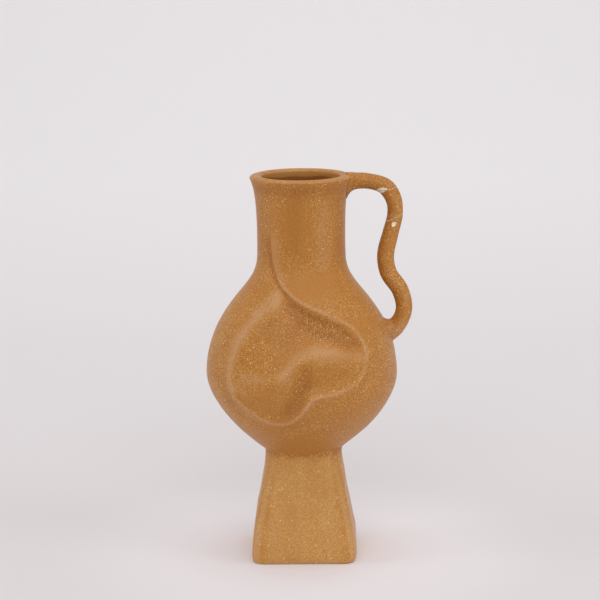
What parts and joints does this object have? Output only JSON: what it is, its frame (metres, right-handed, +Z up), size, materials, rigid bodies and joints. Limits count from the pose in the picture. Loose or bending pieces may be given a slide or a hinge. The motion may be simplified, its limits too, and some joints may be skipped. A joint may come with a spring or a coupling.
{
  "type": "handled vase",
  "caption": "Sculpted stoneware vase with square pedestal foot, pressed hollow in the round belly, tall flared neck and a mended coil handle",
  "frame": {"origin": "centre of the flat underside of the square base", "axes": "+Z up along the axis of the neck; the pressed front faces -Y; the handle stands out towards +X"},
  "size_m": [0.1646, 0.1514, 0.3102],
  "materials": {
    "ochre_glaze": "satin ochre glaze with fine pale speckles",
    "mend_filler": "pale cream filler in the breaks of the handle"
  },
  "bodies": {
    "root": {"base_slab": "ochre_glaze", "pedestal_wall": "ochre_glaze", "front_body_shell": "ochre_glaze", "back_body_shell": "ochre_glaze", "neck_collar": "ochre_glaze", "handle_upper_arm": "ochre_glaze", "upper_mend": "mend_filler", "handle_middle_fragment": "ochre_glaze", "lower_mend": "mend_filler", "handle_lower_sweep": "ochre_glaze"}
  },
  "joints": []
}
